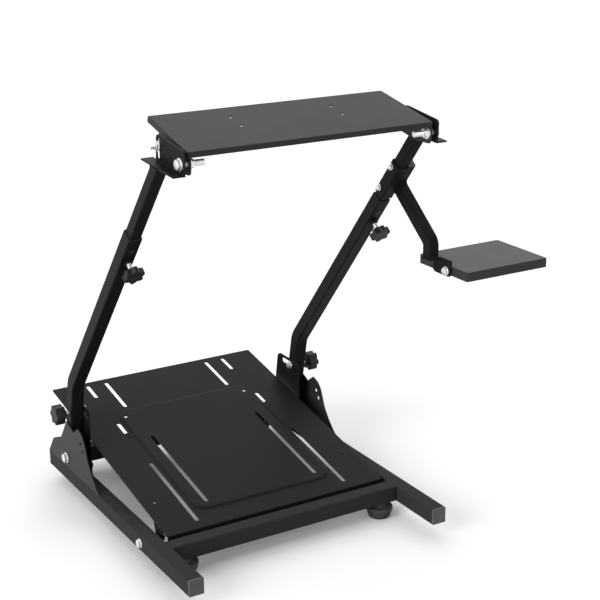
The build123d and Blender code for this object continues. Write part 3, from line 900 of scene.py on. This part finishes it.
class STAND_OT_studs(Operator):
    """Fit the threaded clamp studs on the lower tubes"""

    bl_idname = "stand.studs"
    bl_label = "Fit the Clamp Studs"

    def execute(self, context):
        hardware = context.scene.stand_hardware
        for side, _ in SIDES:
            node = f"{side}_clamp_stud"
            low, high = span(node, FRONT)
            length = high - low
            radius = breadth(node, ACROSS) / (2 * HEAD_CORNER)
            spot = ACROSS * middle(node, ACROSS) + MAST * middle(node, MAST) + FRONT * low
            seat = middle(f"{side}_upper_tube", FRONT) + breadth(f"{side}_lower_tube", ACROSS) / 2 - low
            nut = hexagon(f"{side}_clamp_nut", radius * HEAD_CORNER, seat, seat + CLAMP_NUT)
            dress(settle(nut, spot, FRONT), "tube_coat", body_of(node), "black_coat")
            bar = shank("bar", radius * STUD_SHANK, 0, length + STUD_IN_KNOB)
            ridge = thread("thread", radius * STUD_ROOT, seat + STUD_THREAD, length, hardware.thread_pitch)
            made = join(f"{side}_clamp_stud_set", [bar, ridge])
            dress(settle(made, spot, FRONT), "zinc", body_of(node), "zinc", node)
        return {"FINISHED"}


class STAND_OT_knobs(Operator):
    """Fit the fluted hand knobs"""

    bl_idname = "stand.knobs"
    bl_label = "Fit the Hand Knobs"

    def execute(self, context):
        hardware = context.scene.stand_hardware
        for kind in ("lock", "clamp"):
            for side, outward in SIDES:
                node = f"{side}_{kind}_knob"
                axis = ACROSS * outward if kind == "lock" else FRONT
                level = UP if kind == "lock" else MAST
                third = level.cross(axis).normalized()
                low, high = span(node, axis)
                wide = span(node, level)
                deep = span(node, third)
                radius = max(wide[1] - wide[0], deep[1] - deep[0]) / 2
                name = f"{side}_{kind}_hand_knob"
                knob = star_knob(name, hardware, radius, KNOB_HUB, KNOB_NECK, high - low - KNOB_NECK)
                spot = axis * low + level * sum(wide) / 2 + third * sum(deep) / 2
                settle(knob, spot, axis)
                dress(knob, "knob_plastic", body_of(node), "black_plastic", node)
        return {"FINISHED"}


class STAND_OT_feet(Operator):
    """Fit the ribbed rubber feet"""

    bl_idname = "stand.feet"
    bl_label = "Fit the Feet"

    def execute(self, context):
        nodes = [f"{end}_{side}_foot" for end in ("front", "rear") for side, _ in SIDES]
        low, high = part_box(nodes[0])
        wide = (high.x - low.x) / 2
        tall = high.z
        sole = wide * FOOT_SOLE
        outline = []
        for ring in range(RIB_COUNT):
            for rise, cut in RIB:
                share = RIB_START + ring * RIB_PITCH + rise
                reach = sole + (wide - sole) * min(1.0, share / RIB_END)
                outline.append((share * tall, reach - cut * wide))
        outline += [(rise * tall, reach * wide) for rise, reach in FOOT_RIM]
        at, size = FOOT_START, sole * FOOT_SOLE_EDGE
        model = rod("foot", 64, size, 0, at)
        edit(model)
        pick(model, "FACE", faces_up)
        for z, radius in outline:
            pull((0, 0, z - at), (radius / size, radius / size, 1), (0, 0, z))
            at, size = z, radius
        pick(model, "FACE", lambda place, normal: faces_down(place, normal) and place.z < FOOT_START / 4)
        bpy.ops.mesh.inset(thickness=sole * FOOT_HOLLOW)
        pull((0, 0, FOOT_RECESS))
        alone(model)
        soften(model, width=0.0005, segments=2, angle=40)
        for node in nodes:
            low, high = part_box(node)
            foot = twin(model, node.replace("foot", "rubber_foot"))
            settle(foot, Vector(((low.x + high.x) / 2, (low.y + high.y) / 2, low.z)))
            dress(foot, "rubber", body_of(node), "rubber", node)
        bpy.data.objects.remove(model)
        return {"FINISHED"}


class STAND_OT_bushes(Operator):
    """Fit the plastic guide bushes where the upper tubes enter the lower ones"""

    bl_idname = "stand.bushes"
    bl_label = "Fit the Guide Bushes"

    def execute(self, context):
        rim = context.scene.stand_hardware.bush_rim
        for side, _ in SIDES:
            lower, upper = f"{side}_lower_tube", f"{side}_upper_tube"
            tube = breadth(lower, ACROSS)
            size = tube - BUSH_INSET
            bore = breadth(upper, ACROSS) + BUSH_PLAY
            end = span(lower, MAST)[1]
            line = ACROSS * middle(lower, ACROSS) + FRONT * middle(upper, FRONT)
            bush = cuboid(f"{side}_guide_bush", (size, size, rim), rim / 2)
            round_edges(bush, UP, TUBE_ROUND, segments=4)
            bore_out(bush, (size - bore) / 2)
            soften(bush, width=0.0004)
            settle(bush, line + MAST * end, turn=MAST_TURN)
            dress(bush, "knob_plastic", "mast", "black_plastic")
            key = cuboid(f"{side}_bush_key", KEY_SIZE)
            round_edges(key, Vector((0, 1, 0)), KEY_ROUND, segments=6)
            soften(key, width=0.0003)
            spot = line + MAST * (end - KEY_DROP) + FRONT * (tube / 2 + KEY_LIFT)
            settle(key, spot, turn=MAST_TURN)
            dress(key, "knob_plastic", "mast", "black_plastic")
        return {"FINISHED"}


class STAND_OT_arm_plug(Operator):
    """Fit the plastic plug in the open top of the shifter arm"""

    bl_idname = "stand.arm_plug"
    bl_label = "Fit the Arm Plug"

    def execute(self, context):
        arm = places("shifter_arm")
        top = max(MAST.dot(place) for place in arm)
        rim = [place for place in arm if MAST.dot(place) > top - ARM_TOP]
        wide = [ACROSS.dot(place) for place in rim]
        deep = [FRONT.dot(place) for place in rim]
        size = (max(wide) - min(wide) - PLUG_INSET, max(deep) - min(deep) - PLUG_INSET, PLUG_HEIGHT)
        plug = cuboid("shifter_arm_plug", size, PLUG_HEIGHT / 2)
        round_edges(plug, UP, TUBE_ROUND, segments=4)
        edit(plug)
        pick(plug, "FACE", faces_up)
        bpy.ops.mesh.inset(thickness=PLUG_RIM)
        pull((0, 0, PLUG_CROWN), (0.9, 0.9, 1))
        alone(plug)
        soften(plug, width=0.0004)
        spot = ACROSS * (max(wide) + min(wide)) / 2 + FRONT * (max(deep) + min(deep)) / 2 + MAST * top
        settle(plug, spot, turn=MAST_TURN)
        dress(plug, "cap_plastic", body_of("shifter_arm"), "black_plastic")
        return {"FINISHED"}


class STAND_OT_collar_screws(Operator):
    """Fit the two clamp screws on the inner side of the shifter collar"""

    bl_idname = "stand.collar_screws"
    bl_label = "Fit the Collar Screws"

    def execute(self, context):
        hardware = context.scene.stand_hardware
        low, high = span("shifter_collar", MAST)
        inner = span("shifter_collar", ACROSS)[0]
        back = middle("shifter_collar", FRONT) - SCREW_BACK
        screws = []
        for along in (low + SCREW_LOW, high - SCREW_HIGH):
            screw = bolt_set("screw", hardware, SCREW_RADIUS, SCREW_GRIP, nut=False)
            screws.append(settle(screw, ACROSS * inner + MAST * along + FRONT * back, -ACROSS))
        made = join("shifter_collar_screws", screws)
        dress(made, "zinc", body_of("shifter_collar"), "zinc")
        return {"FINISHED"}


class STAND_OT_welds(Operator):
    """Lay the weld beads between tubes and plates"""

    bl_idname = "stand.welds"
    bl_label = "Lay the Welds"

    def lay(self, name, runs, body, hardware):
        """Beads along runs, each a start and an end, as one piece."""
        radius, ripple = hardware.weld_radius, hardware.weld_ripple
        beads = [weld_bead("bead", start, end, radius, ripple) for start, end in runs]
        dress(join(name, beads), "tube_coat", body, "black_coat", angle=60)

    def ring(self, rim, lift):
        """Four runs round the cut end of a square tube, given the vertices of its rim."""
        x0, x1 = min(p.x for p in rim), max(p.x for p in rim)
        front = min(rim, key=lambda p: p.y)
        rear = max(rim, key=lambda p: p.y)
        corners = [
            Vector((x0, front.y, front.z + lift)),
            Vector((x1, front.y, front.z + lift)),
            Vector((x1, rear.y, rear.z + lift)),
            Vector((x0, rear.y, rear.z + lift)),
        ]
        return list(zip(corners, corners[1:] + corners[:1]))

    def execute(self, context):
        hardware = context.scene.stand_hardware
        for end in ("front", "rear"):
            low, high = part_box(f"{end}_crossbar")
            for side, outward in SIDES:
                x = low.x if outward < 0 else high.x
                first, last = low.z + CROSSBAR_WELD_END, high.z - CROSSBAR_WELD_END
                runs = [((x, y, first), (x, y, last)) for y in (low.y, high.y)]
                self.lay(f"{side}_{end}_crossbar_weld", runs, "base", hardware)
        for side, outward in SIDES:
            low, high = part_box(f"{side}_outer_gusset")
            inner = high.x if outward < 0 else low.x
            runs = []
            for share in STITCHES:
                first = low.y + share * (high.y - low.y)
                runs.append(((inner, first, low.z), (inner, first + STITCH, low.z)))
            cheek_low, cheek_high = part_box(f"{side}_inner_gusset")
            rail_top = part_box(f"{side}_rail")[1].z
            x = (cheek_low.x + cheek_high.x) / 2
            first, last = cheek_low.z + CHEEK_WELD_END, rail_top - CHEEK_WELD_END
            runs += [((x, y, first), (x, y, last)) for y in (cheek_low.y, cheek_high.y)]
            self.lay(f"{side}_gusset_weld", runs, "base", hardware)
            half = middle(f"{side}_upper_tube", MAST)
            rim = [place for place in places(f"{side}_upper_tube") if MAST.dot(place) > half]
            self.lay(f"{side}_head_weld", self.ring(rim, -RING_LIFT), "column", hardware)
        arm = places("shifter_arm")
        foot = min(place.z for place in arm)
        rim = [place for place in arm if place.z < foot + ARM_FOOT]
        self.lay("shifter_foot_weld", self.ring(rim, RING_LIFT), "column", hardware)
        top = max(MAST.dot(place) for place in arm)
        stem = max(FRONT.dot(place) for place in arm if MAST.dot(place) > top - ARM_STEM)
        back = span("shifter_collar", FRONT)[0] + ARM_WELD_BACK
        seam = span("shifter_collar", ACROSS)[1]
        runs = []
        for across in (stem, back):
            line = ACROSS * seam + FRONT * across
            runs.append((line + MAST * (top - ARM_WELD_LOW), line + MAST * (top - ARM_WELD_HIGH)))
        self.lay("shifter_arm_weld", runs, "column", hardware)
        return {"FINISHED"}


class STAND_OT_stage(Operator):
    """Set the floor, the light and the camera"""

    bl_idname = "stand.stage"
    bl_label = "Set the Stage"

    def seen(self, tree):
        """Rays from the camera, from gloss and through glass."""
        path = tree.nodes.new("ShaderNodeLightPath").outputs
        gloss = Paint(tree, path["Is Glossy Ray"]) + Paint(tree, path["Is Transmission Ray"])
        return Paint(tree, path["Is Camera Ray"]) + gloss

    def floor(self, share):
        """White floor that keeps the shadow, with a share of plain white in its look."""
        add = bpy.ops.mesh.primitive_plane_add
        ground = begin("studio_floor", add, size=FLOOR_SIZE, location=(0, 0, -FLOOR_DROP))
        material = bpy.data.materials.new("studio_white")
        material.use_nodes = True
        tree = material.node_tree
        tree.nodes.clear()
        seen = self.seen(tree)
        diffuse = seen.node("ShaderNodeBsdfDiffuse", {}, {"Color": FLOOR_COLOUR})
        glow = seen.node("ShaderNodeEmission", {}, {"Color": WHITE, "Strength": 1.0})
        mixed = seen.node("ShaderNodeMixShader", {}, {0: share * seen, 1: diffuse, 2: glow})
        out = tree.nodes.new("ShaderNodeOutputMaterial")
        tree.links.new(mixed.socket, out.inputs["Surface"])
        ground.data.materials.append(material)

    def sky(self, scene, strength):
        """Even light from all round, seen as plain white."""
        world = bpy.data.worlds.new("studio_sky")
        scene.world = world
        world.use_nodes = True
        tree = world.node_tree
        tree.nodes.clear()
        seen = self.seen(tree)
        dim = seen.node("ShaderNodeBackground", {}, {"Color": WHITE, "Strength": strength})
        white = seen.node("ShaderNodeBackground", {}, {"Color": WHITE, "Strength": 1.0})
        mixed = seen.node("ShaderNodeMixShader", {}, {0: seen, 1: dim, 2: white})
        out = tree.nodes.new("ShaderNodeOutputWorld")
        tree.links.new(mixed.socket, out.inputs["Surface"])

    def lamp(self, name, source, strength, spread):
        """Very large soft lamp far away in one direction."""
        data = bpy.data.lights.new(name, "SUN")
        data.energy = strength
        data.angle = math.radians(spread)
        lamp = bpy.data.objects.new(name, data)
        bpy.context.scene.collection.objects.link(lamp)
        lamp.rotation_euler = Vector(source).to_track_quat("Z", "Y").to_euler()

    def execute(self, context):
        scene = context.scene
        stage = scene.stand_stage
        self.floor(stage.floor_glow)
        self.sky(scene, stage.sky)
        for name, (source, spread) in LAMPS.items():
            self.lamp(f"{name}_lamp", source, getattr(stage, name), spread)
        data = bpy.data.cameras.new("studio_camera")
        data.lens = stage.lens
        data.sensor_width = SENSOR
        data.clip_start, data.clip_end = CLIP
        camera = bpy.data.objects.new("studio_camera", data)
        scene.collection.objects.link(camera)
        yaw, pitch, roll = stage.azimuth, stage.elevation, stage.roll
        right = Vector((math.cos(yaw), math.sin(yaw), 0))
        ahead = Vector((-math.sin(yaw) * math.cos(pitch), math.cos(yaw) * math.cos(pitch), -math.sin(pitch)))
        over = right.cross(ahead)
        side = math.cos(roll) * right + math.sin(roll) * over
        top = -math.sin(roll) * right + math.cos(roll) * over
        turn = Matrix((side, top, -ahead)).transposed().to_4x4()
        spot = Vector((MIDDLE_X, RAIL_FRONT, 0)) + Vector(stage.place)
        camera.matrix_world = Matrix.Translation(spot) @ turn
        scene.camera = camera
        scene.view_settings.view_transform = "Standard"
        return {"FINISHED"}


class STAND_PT_panel(Panel):
    """Steps of the stand in order, with the sizes and colours they use"""

    bl_idname = "STAND_PT_panel"
    bl_label = "Racing Wheel Stand"
    bl_space_type = "VIEW_3D"
    bl_region_type = "UI"
    bl_category = "Stand"

    def draw(self, context):
        layout = self.layout
        for group in (context.scene.stand_finish, context.scene.stand_hardware, context.scene.stand_stage):
            box = layout.box()
            for name in group.__annotations__:
                box.prop(group, name)
        for step in STEPS:
            layout.operator(step.bl_idname)


STEPS = (
    STAND_OT_finishes,
    STAND_OT_bolts,
    STAND_OT_studs,
    STAND_OT_knobs,
    STAND_OT_feet,
    STAND_OT_bushes,
    STAND_OT_arm_plug,
    STAND_OT_collar_screws,
    STAND_OT_welds,
    STAND_OT_stage,
)
CLASSES = (StandFinish, StandHardware, StandStage, *STEPS, STAND_PT_panel)


def register():
    for kind in CLASSES:
        bpy.utils.register_class(kind)
    bpy.types.Scene.stand_finish = PointerProperty(type=StandFinish)
    bpy.types.Scene.stand_hardware = PointerProperty(type=StandHardware)
    bpy.types.Scene.stand_stage = PointerProperty(type=StandStage)


def unregister():
    del bpy.types.Scene.stand_finish
    del bpy.types.Scene.stand_hardware
    del bpy.types.Scene.stand_stage
    for kind in reversed(CLASSES):
        bpy.utils.unregister_class(kind)


def main():
    register()
    bpy.ops.stand.finishes()
    bpy.ops.stand.bolts()
    bpy.ops.stand.studs()
    bpy.ops.stand.knobs()
    bpy.ops.stand.feet()
    bpy.ops.stand.bushes()
    bpy.ops.stand.arm_plug()
    bpy.ops.stand.collar_screws()
    bpy.ops.stand.welds()
    bpy.ops.stand.stage()
    alone()


if __name__ == "__main__":
    main()
